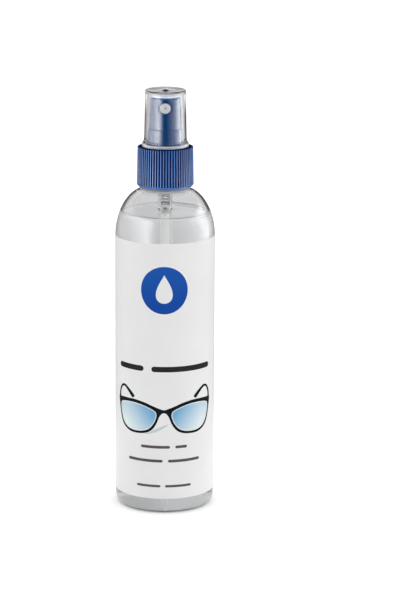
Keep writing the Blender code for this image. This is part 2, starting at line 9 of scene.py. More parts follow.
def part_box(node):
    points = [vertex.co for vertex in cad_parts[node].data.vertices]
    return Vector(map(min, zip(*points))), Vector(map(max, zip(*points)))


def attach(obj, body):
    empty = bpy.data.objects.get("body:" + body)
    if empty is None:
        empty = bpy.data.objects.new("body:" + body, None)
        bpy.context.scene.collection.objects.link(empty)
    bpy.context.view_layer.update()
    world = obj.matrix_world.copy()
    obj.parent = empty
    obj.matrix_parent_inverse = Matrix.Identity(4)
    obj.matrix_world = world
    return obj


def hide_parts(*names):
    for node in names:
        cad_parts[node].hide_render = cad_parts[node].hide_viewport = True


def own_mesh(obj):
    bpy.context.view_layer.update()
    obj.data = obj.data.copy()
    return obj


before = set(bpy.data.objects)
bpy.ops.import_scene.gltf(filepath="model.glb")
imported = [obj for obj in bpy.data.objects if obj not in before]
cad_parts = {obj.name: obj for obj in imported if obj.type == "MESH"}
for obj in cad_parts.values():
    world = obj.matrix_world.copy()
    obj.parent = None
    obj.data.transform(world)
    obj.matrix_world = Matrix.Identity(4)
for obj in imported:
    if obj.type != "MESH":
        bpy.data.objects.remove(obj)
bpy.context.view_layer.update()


MM = 0.001
TAU = 2 * math.pi
TINY = 1e-6
ROUND = 144                           # sides of the large turned pieces
SCENE = bpy.context.scene.collection

# Heights and radii in millimetres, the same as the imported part's.
BODY_R = 24.08
SHOULDER_LOW, SHOULDER_TOP, SHOULDER_R = 133.1, 156.4, 11.56
SHOULDER_POWERS = 2.10, 1.64          # of the superellipse that the shoulder follows
WALL, WALL_GAIN = 0.60, 0.9           # the wall, and how much thicker it is at the shoulder's top
FILL = 145.3
COLLAR_LOW, COLLAR_TOP = 157.4, 177.1
NECK_R, NECK_TOP = 10.75, 171.6
PITCH = 3.175
BUTTON_LOW, BUTTON_TOP, BUTTON_R = 186.1, 201.4, 7.7
NOZZLE_Z = 196.5
CAP_LOW, CAP_TOP = 177.4, 204.6


# --- outlines ---------------------------------------------------------------------------------
def arc(centre, radii, start, end, steps):
    """Points of an elliptical arc in the (radius, height) plane, angles in degrees."""
    return [
        (
            centre[0] + radii[0] * math.cos(math.radians(start + (end - start) * i / steps)),
            centre[1] + radii[1] * math.sin(math.radians(start + (end - start) * i / steps)),
        )
        for i in range(steps + 1)
    ]


def filleted(points, radius=0.12, closed=True, steps=3, least=20, most=0.42):
    """Rounds each corner that turns by least degrees, over at most this share of a side."""
    count = len(points)
    found = []
    for i, point in enumerate(points):
        here = Vector(point)
        if not closed and i in (0, count - 1):
            found.append(point)
            continue
        before, after = Vector(points[i - 1]), Vector(points[(i + 1) % count])
        come, go = here - before, after - here
        if min(come.length, go.length) < TINY:
            continue
        turn = come.angle(go)
        if turn < math.radians(least) or point[0] < TINY:
            found.append(point)
            continue
        reach = min(radius * math.tan(turn / 2), most * come.length, most * go.length)
        a, b = here - come.normalized() * reach, here + go.normalized() * reach
        for j in range(steps + 1):
            t = j / steps
            spot = a * (1 - t) ** 2 + here * 2 * t * (1 - t) + b * t**2
            found.append((spot.x, spot.y))
    return found


def shoulder_radius(z):
    share = min(1.0, max(0.0, (z - SHOULDER_LOW) / (SHOULDER_TOP - SHOULDER_LOW)))
    along_top, along_side = SHOULDER_POWERS
    return SHOULDER_R + (BODY_R - SHOULDER_R) * (1 - share**along_top) ** (1 / along_side)


def shoulder(inset, top, steps):
    """Points down the shoulder from top to the straight wall, moved in by inset(z)."""
    found = []
    for i in range(steps + 1):
        z = top - (top - SHOULDER_LOW) * (1 - math.cos(math.pi / 2 * i / steps))
        found.append((shoulder_radius(z) - inset(z), z))
    return found


def dome(lift, steps, radius=18.1, height=4.2, power=0.8):
    """The push-up under the base, from its edge to the axis."""
    return [
        (radius * (1 - i / steps), lift + height * math.cos(math.pi / 2 * (1 - i / steps)) ** power)
        for i in range(steps + 1)
    ]


# --- mesh makers ------------------------------------------------------------------------------
def piece(name, mesh, body, material, *nodes, slot=None, sharp=35):
    """Links a mesh as a shown piece that rides on a body and stands for CAD nodes.

    A piece of clear material casts no shadow.
    """
    obj = bpy.data.objects.new(name, mesh)
    SCENE.objects.link(obj)
    mesh.materials.append(material)
    shade(mesh, sharp)
    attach(obj, body)
    if nodes:
        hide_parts(*nodes)
    obj.visible_shadow = material not in CLEAR
    return obj


def shade(mesh, sharp=35):
    """Shades a mesh smooth, but for edges that turn by more than this many degrees."""
    mesh.shade_smooth()
    if sharp:
        mesh.set_sharp_from_angle(angle=math.radians(sharp))


def finish_or_paint_faces(obj, finishes_or_painted_light, choose):
    """Adds finishes, or colours that paint light or shade, to a piece. choose(radius, height) says which
    a face gets: 0 is the piece's own.
    """
    for material in finishes_or_painted_light:
        obj.data.materials.append(material)
    for face in obj.data.polygons:
        x, y, z = (value / MM for value in face.center)
        face.material_index = choose(math.hypot(x, y), z)


def made_mesh(name, shape):
    """Turns a bmesh into a mesh with its faces pointing out."""
    bmesh.ops.recalc_face_normals(shape, faces=shape.faces)
    mesh = bpy.data.meshes.new(name)
    shape.to_mesh(mesh)
    shape.free()
    return mesh


def lathe_mesh(name, outline, sides, closed=True, shift=None, angles=None):
    """Turns an outline about Z. shift(angle, radius, height) may move a point in or out."""
    angles = angles if angles is not None else [TAU * i / sides for i in range(sides)]
    shape = bmesh.new()
    rings = []
    for r, z in outline:
        if r < TINY:
            rings.append([shape.verts.new((0, 0, z * MM))])
            continue
        ring = []
        for a in angles:
            reach = r + (shift(a, r, z) if shift else 0.0)
            ring.append(shape.verts.new((reach * math.cos(a) * MM, reach * math.sin(a) * MM, z * MM)))
        rings.append(ring)
    pairs = list(zip(rings, rings[1:]))
    if closed and len(rings[0]) > 1:
        pairs.append((rings[-1], rings[0]))
    for upper, lower in pairs:
        for i in range(len(angles)):
            j = (i + 1) % len(angles)
            if len(upper) == 1 and len(lower) == 1:
                continue
            if len(upper) == 1:
                shape.faces.new((upper[0], lower[i], lower[j]))
            elif len(lower) == 1:
                shape.faces.new((upper[i], lower[0], upper[j]))
            else:
                shape.faces.new((upper[i], lower[i], lower[j], upper[j]))
    return made_mesh(name, shape)


def turned(name, outline, sides, body, material, node, closed=True):
    """A plain turned piece that stands for one CAD node."""
    return piece(name, lathe_mesh(name, outline, sides, closed), body, material, node)


def wire_mesh(name, path, radius, sides=12):
    """A round wire along a path of points in millimetres."""
    points = np.array(path, float)
    shape = bmesh.new()
    rings = []
    for i, here in enumerate(points):
        ahead = points[min(i + 1, len(points) - 1)] - points[max(i - 1, 0)]
        ahead /= np.linalg.norm(ahead)
        side = np.cross(ahead, (0, 0, 1.0))
        side /= np.linalg.norm(side)
        up = np.cross(side, ahead)
        ring = []
        for j in range(sides):
            out = side * math.cos(TAU * j / sides) + up * math.sin(TAU * j / sides)
            ring.append(shape.verts.new((here + radius * out) * MM))
        rings.append(ring)
    for low, high in zip(rings, rings[1:]):
        for j in range(sides):
            k = (j + 1) % sides
            shape.faces.new((low[j], low[k], high[k], high[j]))
    shape.faces.new(rings[0])
    shape.faces.new(rings[-1])
    return made_mesh(name, shape)


# --- materials --------------------------------------------------------------------------------
def shader_material(name, **sockets):
    """A Principled material with constant sockets, and its tree for adding detail."""
    made = bpy.data.materials.new(name)
    made.use_nodes = True
    tree = made.node_tree
    shader = tree.nodes["Principled BSDF"]
    for key, value in sockets.items():
        shader.inputs[key.replace("_", " ")].default_value = value
    return made, tree, shader


def noise(tree, scale, detail=2.0, rough=0.5, stretch=(1, 1, 1)):
    coords = tree.nodes.new("ShaderNodeTexCoord")
    mapping = tree.nodes.new("ShaderNodeMapping")
    mapping.inputs["Scale"].default_value = stretch
    texture = tree.nodes.new("ShaderNodeTexNoise")
    texture.inputs["Scale"].default_value = scale
    texture.inputs["Detail"].default_value = detail
    texture.inputs["Roughness"].default_value = rough
    tree.links.new(coords.outputs["Object"], mapping.inputs["Vector"])
    tree.links.new(mapping.outputs["Vector"], texture.inputs["Vector"])
    return texture.outputs["Fac"]


def ramp(tree, source, low, high, first=0.0, last=1.0, kind="LINEAR"):
    """Runs from first, where the source is low, to last, where it is high."""
    node = tree.nodes.new("ShaderNodeMapRange")
    node.interpolation_type = kind
    node.inputs["From Min"].default_value = low
    node.inputs["From Max"].default_value = high
    node.inputs["To Min"].default_value = first
    node.inputs["To Max"].default_value = last
    tree.links.new(source, node.inputs["Value"])
    return node.outputs["Result"]


def ranged(tree, source, first, last):
    """Spreads a noise, which stays mostly within 0.3 to 0.7, over a range."""
    return ramp(tree, source, 0.3, 0.7, first, last)


def tinted(tree, source, dark, light):
    node = tree.nodes.new("ShaderNodeMix")
    node.data_type = "RGBA"
    node.inputs["A"].default_value = (*dark, 1)
    node.inputs["B"].default_value = (*light, 1)
    tree.links.new(source, node.inputs["Factor"])
    return node.outputs["Result"]


def feed(tree, socket, value):
    """Gives a socket a number, or links it to the output that value is."""
    if isinstance(value, float):
        socket.default_value = value
    else:
        tree.links.new(value, socket)


def worked(tree, operation, *values):
    """What a Math node makes of its values."""
    node = tree.nodes.new("ShaderNodeMath")
    node.operation = operation
    for socket, value in zip(node.inputs, values):
        feed(tree, socket, value)
    return node.outputs[0]


def blended(tree, share, first, second):
    """The first value where share is 0 and the second where it is 1 or more."""
    node = tree.nodes.new("ShaderNodeMix")
    tree.links.new(share, node.inputs["Factor"])
    feed(tree, node.inputs["A"], first)
    feed(tree, node.inputs["B"], second)
    return node.outputs["Result"]


def split(tree, vector):
    """The X, Y and Z of a vector."""
    node = tree.nodes.new("ShaderNodeSeparateXYZ")
    tree.links.new(vector, node.inputs[0])
    return node.outputs


def own_place(tree):
    """The X, Y and Z of a point in the object's own axes, in metres."""
    return split(tree, tree.nodes.new("ShaderNodeTexCoord").outputs["Object"])


def bump(tree, shader, source, distance):
    node = tree.nodes.new("ShaderNodeBump")
    node.inputs["Distance"].default_value = distance
    tree.links.new(source, node.inputs["Height"])
    tree.links.new(node.outputs["Normal"], shader.inputs["Normal"])


def moulded(name, dark, light, rough, grain=0.00001, **sockets):
    """Moulded plastic: slight flow mottling, a fine grain, and gloss that varies a little."""
    made, tree, shader = shader_material(name, **sockets)
    flow = noise(tree, scale=260, detail=3.0, stretch=(1, 1, 0.35))
    fine = noise(tree, scale=2600, detail=2.0)
    tree.links.new(tinted(tree, ranged(tree, flow, 0, 1), dark, light), shader.inputs["Base Color"])
    tree.links.new(ranged(tree, flow, *rough), shader.inputs["Roughness"])
    bump(tree, shader, fine, grain)
    return made


CLEAR = []                            # materials that let light through to what is behind them


def clear(name, tint, ior, rough, wave=(45, 0.00004)):
    """Clear plastic or fluid: gloss that varies a little, over waves of a (scale, depth)."""
    made, tree, shader = shader_material(name, Base_Color=(*tint, 1), Transmission_Weight=1.0, IOR=ior)
    scale, depth = wave
    soft = noise(tree, scale, detail=1.0)
    tree.links.new(ranged(tree, soft, *rough), shader.inputs["Roughness"])
    if depth:
        bump(tree, shader, soft, depth)
    CLEAR.append(made)
    return made


BLUE_DARK, BLUE_LIGHT = (0.0025, 0.047, 0.172), (0.0038, 0.060, 0.205)
PET = clear("pet_clear", (0.965, 0.967, 0.97), 1.57, (0.006, 0.018))
FLUID = clear("fluid_clear", (0.97, 0.975, 0.98), 1.36, (0.0, 0.005), wave=(30, 0.0))
CAP = clear("pp_clear_cap", (0.93, 0.93, 0.935), 1.49, (0.01, 0.03), wave=(120, 0.00001))
# A dark band round the foot of the heel: painted contact shadow.
PET_HEEL_SHADOW = moulded(
    "pet_heel_painted_shadow", (0.055, 0.057, 0.06), (0.09, 0.092, 0.095), (0.15, 0.25),
    Transmission_Weight=0.4, IOR=1.57,
)
# Whitish, half-clear PET on the bead under the collar and in the neck's inner corner: a painted
# highlight, which also covers the dark that the curves show there.
PET_BEAD_HIGHLIGHT = moulded(
    "pet_bead_painted_highlight", (0.90, 0.90, 0.91), (0.95, 0.95, 0.95), (0.15, 0.25),
    Transmission_Weight=0.45, IOR=1.57,
)
# The gate nub's top and the ring under it, nearly black: painted shade where the nub shows dark.
CAP_GATE_DARK = moulded(
    "pp_gate_painted_dark", (0.010, 0.014, 0.035), (0.02, 0.025, 0.05), (0.30, 0.40),
    Transmission_Weight=0.10, IOR=1.49, Specular_IOR_Level=0.1,
)
CAP_LIP = moulded(
    "pp_frosted_lip", (0.90, 0.90, 0.91), (0.95, 0.95, 0.95), (0.20, 0.30),
    Transmission_Weight=0.45, IOR=1.49,
)
BLUE_COLLAR = moulded(
    "pp_blue_collar", (0.003, 0.120, 0.490), (0.005, 0.140, 0.550), (0.10, 0.16), grain=0.000004,
    IOR=1.7, Specular_IOR_Level=1.0, Coat_Weight=1.0, Coat_Roughness=0.06,
)
# The grooves between the collar's ribs, its recessed deck and its inside, in a darker blue with little
# gloss: painted shade.
BLUE_GROOVE_SHADE = moulded(
    "pp_blue_groove_painted_shade", (0.0002, 0.011, 0.080), (0.0004, 0.014, 0.095), (0.40, 0.50), grain=0.000004,
    Specular_IOR_Level=0.04,
)
BLUE_TOWER = moulded(
    "pp_blue_tower", BLUE_DARK, BLUE_LIGHT, (0.13, 0.18), grain=0.000004,
    Specular_IOR_Level=0.7, Coat_Weight=1.0, Coat_Roughness=0.09,
)
BLUE_BUTTON = moulded(
    "pp_blue_button", BLUE_DARK, BLUE_LIGHT, (0.09, 0.13), grain=0.000004,
    Specular_IOR_Level=0.7, Coat_Weight=1.0, Coat_Roughness=0.07,
)
WHITE_NOZZLE = moulded("pom_white_nozzle", (0.80, 0.81, 0.81), (0.86, 0.87, 0.87), (0.28, 0.36))
WHITE_STEM = moulded("pom_white_stem", (0.76, 0.77, 0.76), (0.83, 0.84, 0.83), (0.30, 0.40))
WHITE_PIN = moulded("pom_white_pin", (0.72, 0.74, 0.74), (0.80, 0.82, 0.82), (0.30, 0.40))
FOAM = moulded("pe_foam_gasket", (0.78, 0.78, 0.76), (0.88, 0.88, 0.86), (0.7, 0.85), grain=0.00006)
SEAL = moulded("elastomer_seal", (0.62, 0.62, 0.60), (0.70, 0.70, 0.68), (0.5, 0.6), grain=0.00002)
PISTON = moulded("pe_piston", (0.78, 0.79, 0.78), (0.86, 0.86, 0.85), (0.35, 0.45))
GUIDE = moulded("pp_natural_guide", (0.66, 0.68, 0.68), (0.74, 0.75, 0.75), (0.3, 0.4))
HOUSING = clear(
    "pp_natural_housing", (0.985, 0.985, 0.985), 1.40, (0.01, 0.03), wave=(400, 0.000002)
)
# The dip tube glows a little though it is no lamp: painted light.
TUBE_GLOWING = moulded(
    "pe_natural_tube_painted_glow", (0.90, 0.90, 0.895), (0.94, 0.94, 0.935), (0.28, 0.36),
    Transmission_Weight=0.15, IOR=1.45, Emission_Color=(1, 1, 1, 1), Emission_Strength=0.16,
)


def steel(name, dark=0.20, light=0.34):
    """Drawn steel: a fine grain along Z, from a dark to a light grey."""
    made, tree, shader = shader_material(name, Metallic=1.0)
    drawn = noise(tree, scale=1800, detail=2.0, stretch=(1, 1, 6))
    tree.links.new(
        tinted(tree, ranged(tree, drawn, 0, 1), (dark,) * 3, (light,) * 3),
        shader.inputs["Base Color"],
    )
    tree.links.new(ranged(tree, drawn, 0.16, 0.30), shader.inputs["Roughness"])
    bump(tree, shader, drawn, 0.000004)
    return made


GLOW_REACH = 11                       # the label's glow changes from this far left to this far right
GLOW_LEFT, GLOW_RIGHT = (0.70, 0.70, 0.70), (1.15, 1.15, 1.15)


def label_material(name, glow):
    """White film. On its inner side, glow stands for the light that comes through it."""
    made, tree, shader = shader_material(
        name, Specular_IOR_Level=0.3, Emission_Color=(1, 1, 1, 1), Emission_Strength=glow
    )
    fibre = noise(tree, scale=900, detail=4.0, rough=0.6)
    soft = noise(tree, scale=40, detail=2.0)
    tree.links.new(
        tinted(tree, ranged(tree, soft, 0, 1), (0.770, 0.770, 0.772), (0.800, 0.800, 0.802)),
        shader.inputs["Base Color"],
    )
    tree.links.new(ranged(tree, fibre, 0.36, 0.46), shader.inputs["Roughness"])
    bump(tree, shader, fibre, 0.000006)
    if glow:
        side = ramp(tree, own_place(tree)["X"], -GLOW_REACH * MM, GLOW_REACH * MM)
        tree.links.new(tinted(tree, side, GLOW_LEFT, GLOW_RIGHT), shader.inputs["Emission Color"])
    return made


def ink(name, low, high, heights=None):
    """Printed ink. With heights, its colour runs from low to high between them."""
    made, tree, shader = shader_material(name, Specular_IOR_Level=0.08)
    if heights:
        bottom, top = heights
        share = ramp(tree, own_place(tree)["Z"], bottom * MM, top * MM, kind="SMOOTHSTEP")
    else:
        share = ranged(tree, noise(tree, scale=300, detail=3.0), 0, 1)
    tree.links.new(tinted(tree, share, low, high), shader.inputs["Base Color"])
    dry(tree, shader)
    return made


def dry(tree, shader):
    """The slightly uneven gloss of dried ink."""
    uneven = noise(tree, scale=1500, detail=2.0)
    tree.links.new(ranged(tree, uneven, 0.30, 0.42), shader.inputs["Roughness"])


def lens_ink():
    """Blue that is strongest near the nose at the top and pales towards the outer lower edge."""
    made, tree, shader = shader_material("ink_lens", Specular_IOR_Level=0.2)
    place = own_place(tree)
    nose, rim, foot, head = (value * MM for value in (5, 18, 41, 53))
    near_nose = ramp(tree, worked(tree, "ABSOLUTE", place["X"]), nose, rim, 0.70, 0.0)
    near_top = ramp(tree, place["Z"], foot, head, 0.0, 0.45)
    share = worked(tree, "ADD", near_nose, near_top)
    pale, strong = (0.80, 0.86, 0.83), (0.17, 0.40, 0.64)
    tree.links.new(tinted(tree, share, pale, strong), shader.inputs["Base Color"])
    dry(tree, shader)
    return made


# --- bottle, fluid and tube -------------------------------------------------------------------
def wall_inset(z):
    return WALL + WALL_GAIN * max(0.0, z - SHOULDER_LOW) / (SHOULDER_TOP - SHOULDER_LOW)


def inner_wall(shift=0.0):
    """The bottle's inside from the middle of its base up to the neck, moved out by shift."""
    return [
        (0.0, 5.0 - shift),
        *reversed(dome(0.8 - shift, 12)[1:-1]),
        (19.4, 0.8 - shift),
        *arc((20.2, 5.0), (BODY_R - WALL - 20.2 + shift, 4.2 + shift), -82, 0, 10),
        *[(r + shift, z) for r, z in reversed(shoulder(wall_inset, SHOULDER_TOP - 1.5, 28))],
    ]


def thread_height(angle, z, start, turns, width, crest):
    """How far a thread ridge stands out here. It runs out over half a radian at each end."""
    best = 0.0
    for k in range(3):
        wound = angle + TAU * k
        if not 0 <= wound <= turns * TAU:
            continue
        centre = start + PITCH * wound / TAU
        fade = min(1.0, min(wound, turns * TAU - wound) / 0.5)
        reach = 1 - ((z - centre) / width) ** 2
        best = max(best, crest * fade * max(0.0, reach) ** 0.6)
    return best


def make_bottle():
    outline = [
        *arc((NECK_R - 0.3, NECK_TOP - 0.3), (0.3, 0.3), 90, 0, 4),
        (NECK_R, 169.8), (NECK_R, 168.6),
        *[(NECK_R, 168.6 - 0.16 * i) for i in range(1, 52)],
        (NECK_R, 159.2), (NECK_R, 158.2),
        *filleted([
            (NECK_R + 0.01, 157.9), (10.95, 157.35), (12.1, 157.2), (12.25, 156.8), (12.05, 156.45),
        ], 0.2, False),
        *shoulder(lambda z: 0.0, SHOULDER_TOP - 0.05, 34),
        *[(BODY_R, z) for z in (128, 110, 90, 70, 50, 30, 14)],
        *reversed(arc((20.6, 5.0), (BODY_R - 20.6, 5.0), -90, 0, 12)),
        (19.6, 0.0),
        *arc((18.6, 0.35), (0.35, 0.35), 270, 200, 3),
        *dome(0.1, 14)[1:-2],
        (1.9, 4.15), (1.65, 4.05), (1.5, 3.45), (1.35, 3.3), (0.0, 3.3),
    ]
    inside = inner_wall() + [
        (9.0, 156.6), (8.45, 157.6), (8.3, 158.6), (8.3, 171.3), (8.42, 171.52), (8.6, NECK_TOP),
    ]
    turns = 1.5
    thread_low = NECK_TOP - 2.0 - PITCH * turns

    def shift(angle, r, z):
        if abs(r - NECK_R) > 0.05 or not 160 <= z <= 170:
            return 0.0
        return thread_height(angle, z, thread_low, turns, width=0.95, crest=1.1)

    def finish_or_painted_light(r, z):
        # A painted highlight on the bead and in the neck's inner corner.
        bead_highlight = 156.3 < z < 157.95 and 10.7 < r < 12.4
        inner_corner_highlight = 156.2 < z < 158.7 and 8.25 < r < 9.6
        # A painted contact shadow round the foot of the heel.
        heel_shadow = z < 0.95 and r > 19.5
        return 1 if bead_highlight or inner_corner_highlight else 2 if heel_shadow else 0

    mesh = lathe_mesh("bottle_shell", outline + inside, ROUND, shift=shift)
    made = piece("bottle_shell", mesh, "bottle", PET, "bottle")
    finish_or_paint_faces(made, (PET_BEAD_HIGHLIGHT, PET_HEEL_SHADOW), finish_or_painted_light)


def make_fluid():
    """The fill. It reaches a hair into the wall, so that no air shows between them."""
    sunk, climb = 0.06, 0.52          # into the wall, and up it at the edge of the surface
    wall = [(r, z) for r, z in inner_wall(sunk) if z < FILL - 0.2]
    edge = shoulder_radius(FILL + climb) - wall_inset(FILL + climb) + sunk
    tail = 2.35                       # round the housing's tail
    surface = [
        (tail, 144.75), (2.42, FILL + 0.22), (2.6, FILL + 0.10), (3.0, FILL + 0.02), (3.8, FILL),
        (9.0, FILL), (14.0, FILL), (edge - 1.3, FILL), (edge - 0.75, FILL + 0.05),
        (edge - 0.36, FILL + 0.18), (edge - 0.12, FILL + 0.36), (edge, FILL + climb),
    ]
    outline = [
        *surface,
        *reversed(wall[1:]),
        (0.0, wall[0][1]),
        (0.0, 6.1),
        (1.45, 6.1), (1.45, 141.45), (tail, 141.5), (tail, 143.0),
    ]
    turned("fluid_fill", outline, ROUND, "bottle", FLUID, "cleaning_fluid")


# --- label and its print ----------------------------------------------------------------------
LABEL_LOW, LABEL_TOP = 7.6, 134.2
LABEL_IN, LABEL_OUT = BODY_R - 0.03, BODY_R + 0.09
LABEL_REACH = 176.4                   # degrees round each side from the front, short of the back
LABEL_GLOW = 0.33
STRIP = 0.8                           # the print is cut into strips of this width, to follow the curve


def wrapped_mesh(name, polygon, low, high, holes=()):
    """An outline in (way round, height) from the label's front, wrapped on it between two radii."""
    shape = bmesh.new()
    for ring in (polygon, *holes):
        verts = [shape.verts.new((u, v, 0)) for u, v in ring]
        for i, vert in enumerate(verts):
            shape.edges.new((vert, verts[(i + 1) % len(verts)]))
    bmesh.ops.triangle_fill(
        shape, use_beauty=True, use_dissolve=False, edges=shape.edges, normal=(0, 0, 1)
    )
    span = [u for u, v in polygon]
    cut = math.ceil(min(span) / STRIP) * STRIP
    while cut < max(span):
        bmesh.ops.bisect_plane(
            shape, geom=shape.verts[:] + shape.edges[:] + shape.faces[:], dist=1e-5,
            plane_co=(cut, 0, 0), plane_no=(1, 0, 0),
        )
        cut += STRIP
    bmesh.ops.remove_doubles(shape, verts=shape.verts, dist=1e-4)
    for face in shape.faces:
        if face.normal.z < 0:
            face.normal_flip()
    top = bmesh.ops.extrude_face_region(shape, geom=shape.faces[:])["geom"]
    lifted = {e for e in top if isinstance(e, bmesh.types.BMVert)}
    for vert in shape.verts:
        angle = vert.co.x / LABEL_OUT
        radius = high if vert in lifted else low
        vert.co = Vector((radius * math.sin(angle), -radius * math.cos(angle), vert.co.y)) * MM
    return made_mesh(name, shape)


def rounded_bar(left, right, low, high):
    """A bar with round ends."""
    r = min(right - left, high - low) / 2
    return [
        *arc((right - r, high - r), (r, r), 0, 90, 6), *arc((left + r, high - r), (r, r), 90, 180, 6),
        *arc((left + r, low + r), (r, r), 180, 270, 6), *arc((right - r, low + r), (r, r), 270, 360, 6),
    ]


def smooth_loop(points, steps=8):
    """A closed Catmull-Rom curve through points."""
    found, count = [], len(points)
    for i in range(count):
        p0, p1, p2, p3 = (np.array(points[(i + k) % count], float) for k in (-1, 0, 1, 2))
        for j in range(steps):
            t = j / steps
            spot = 0.5 * (2 * p1 + (p2 - p0) * t + (2 * p0 - 5 * p1 + 4 * p2 - p3) * t**2
                          + (3 * p1 - p0 - 3 * p2 + p3) * t**3)
            found.append((float(spot[0]), float(spot[1])))
    return found


def mirrored(points):
    return [(-u, v) for u, v in points]


def joined(name, meshes):
    """Joins meshes that don't touch into one."""
    shape = bmesh.new()
    for mesh in meshes:
        shape.from_mesh(mesh)
    made = bpy.data.meshes.new(name)
    shape.to_mesh(made)
    shape.free()
    return made


def make_label():
    columns, rows = 240, 13
    angles = [
        math.radians(-90 - LABEL_REACH + 2 * LABEL_REACH * i / (columns - 1)) for i in range(columns)
    ]
    shape = bmesh.new()
    levels = [LABEL_LOW + (LABEL_TOP - LABEL_LOW) * i / (rows - 1) for i in range(rows)]

    def grid(r):
        return [
            [shape.verts.new((r * math.cos(a) * MM, r * math.sin(a) * MM, z * MM)) for a in angles]
            for z in levels
        ]

    def band(low, high):
        for i in range(len(low) - 1):
            shape.faces.new((low[i], low[i + 1], high[i + 1], high[i]))

    inner, outer = grid(LABEL_IN), grid(LABEL_OUT)
    for side in (inner, outer):
        for low, high in zip(side, side[1:]):
            band(low, high)
    for edge in (0, -1):
        band(inner[edge], outer[edge])
    for edge in (0, -1):
        band([row[edge] for row in inner], [row[edge] for row in outer])
    mesh = made_mesh("label_wrap", shape)
    piece("label_wrap", mesh, "bottle", label_material("label_film", 0.0), "label", sharp=30)
    mesh.materials.append(label_material("label_film_back", LABEL_GLOW))
    middle = (LABEL_IN + LABEL_OUT) / 2 * MM
    for face in mesh.polygons:
        if all(Vector(mesh.vertices[i].co[:2]).length < middle for i in face.vertices):
            face.material_index = 1
    mesh.materials[1].cycles.emission_sampling = "NONE"


def teardrop(height, width, low, steps=64):
    """A drop with its point up, its bottom at the height low."""
    found = []
    for i in range(steps):
        turn = TAU * i / steps
        found.append((
            width * math.sin(turn) * math.sin(turn / 2) ** 1.3,
            low + height * (1 + math.cos(turn)) / 2,
        ))
    return found


def make_print():
    """Generic print: a drop on a disc, bars where words would be, and a pair of eyeglasses."""
    blue = ink("ink_blue", (0.006, 0.062, 0.340), (0.010, 0.085, 0.385), (100, 123))
    charcoal = ink("ink_charcoal", (0.018, 0.019, 0.021), (0.026, 0.027, 0.030))
    grey = ink("ink_grey", (0.075, 0.077, 0.08), (0.10, 0.102, 0.106))
    frame_ink = ink("ink_frame", (0.003, 0.007, 0.010), (0.006, 0.012, 0.016))
    shade_ink = ink("ink_shade", (0.50, 0.58, 0.61), (0.56, 0.63, 0.66))

    def printed(name, shapes, material, high=0.012):
        meshes = [
            wrapped_mesh(name, outline, LABEL_OUT - 0.01, LABEL_OUT + high, holes)
            for outline, *holes in shapes
        ]
        return piece(name, joined(name, meshes), "bottle", material, slot="label", sharp=30)

    centre, disc_r = 111.5, 11.6
    disc = arc((0.0, centre), (disc_r, disc_r), 0, 360, 96)[:-1]
    printed("print_disc", [(disc, teardrop(14.0, 5.6, centre - 6.4))], blue)

    printed("print_headline", [
        (rounded_bar(-25.8, -10.2, 71.2, 73.9),), (rounded_bar(-6.2, 25.8, 71.2, 73.9),),
    ], charcoal)
    printed("print_lines", [
        (rounded_bar(-11.6, 3.0, 33.0, 34.4),), (rounded_bar(5.6, 11.6, 33.0, 34.4),),
        (rounded_bar(-18.8, -0.6, 26.0, 27.4),), (rounded_bar(2.0, 18.8, 26.0, 27.4),),
        (rounded_bar(-13.8, -1.6, 13.4, 14.6),), (rounded_bar(0.6, 13.8, 13.4, 14.6),),
    ], grey)

    # One half of the eyeglasses, from the top of the bridge outwards and back under the rim.
    half = [
        (2.4, 53.0), (5.6, 54.2), (9.4, 55.6), (14.6, 56.6), (20.0, 56.6), (24.4, 56.4), (26.9, 56.2),
        (26.6, 53.0), (25.6, 49.0), (24.2, 44.9), (21.9, 42.1), (18.2, 40.3), (13.8, 39.9), (9.2, 40.5),
        (6.0, 42.2), (3.8, 45.2), (2.4, 48.6), (1.2, 50.3),
    ]
    lens = [
        (24.2, 54.0), (20.0, 54.9), (15.0, 55.0), (10.4, 54.2), (6.8, 52.9), (4.4, 51.6), (3.7, 50.2),
        (3.9, 48.2), (5.1, 45.4), (7.1, 43.0), (9.6, 41.7), (13.5, 41.1), (17.8, 41.4), (21.1, 42.9),
        (23.3, 45.5), (24.6, 49.1), (25.1, 52.2),
    ]
    arm = [
        (26.6, 55.8), (26.5, 58.2), (25.6, 60.9), (23.7, 62.8), (21.4, 63.0), (19.0, 61.6), (16.9, 60.0),
        (15.4, 58.4), (15.8, 57.5), (16.9, 57.4), (18.2, 58.8), (20.2, 60.7), (22.1, 61.9), (23.6, 61.6),
        (24.8, 59.9), (25.3, 58.0), (25.4, 56.0),
    ]
    middle = (sum(u for u, v in lens) / len(lens), sum(v for u, v in lens) / len(lens))
    inset = [(middle[0] + (u - middle[0]) * 0.96, middle[1] + (v - middle[1]) * 0.935) for u, v in lens]
    whole = smooth_loop([(0, 52.3), *half, (0, 50.8), *reversed(mirrored(half))], 5)
    holes = smooth_loop(lens), smooth_loop(mirrored(lens))
    printed("print_frame", [(whole, *holes)], frame_ink, high=0.016)
    printed("print_arms", [(smooth_loop(arm),), (smooth_loop(mirrored(arm)),)], frame_ink, high=0.013)
    printed("print_lenses", [(smooth_loop(inset),), (smooth_loop(mirrored(inset)),)], lens_ink())
    shade = [(-9.4, 39.9), (-4.4, 41.0), (0.4, 43.6), (2.2, 45.2), (-1.2, 44.0), (-4.8, 42.4)]
    printed("print_shade", [(smooth_loop(shade),)], shade_ink, high=0.010)


# --- collar and tower -------------------------------------------------------------------------
def collar_radius(z):
    return 13.8 - 0.4 * (z - COLLAR_LOW) / (COLLAR_TOP - COLLAR_LOW)


COLLAR_BORE = 12.05
RIBS = 64
RIB_DEPTH = 0.80
RIB_FLOOR = 0.15                      # faces this far below the crests get the grooves' painted shade
RIB_PROFILE = [                       # (share of a rib's pitch, share of its depth below the crest)
    (0.0, 1.0), (0.20, 1.0), (0.23, 0.94), (0.28, 0.26), (0.30, 0.14), (0.335, 0.06), (0.39, 0.015),
    (0.5, 0.0), (0.61, 0.015), (0.665, 0.06), (0.70, 0.14), (0.72, 0.26), (0.77, 0.94), (0.80, 1.0),
]


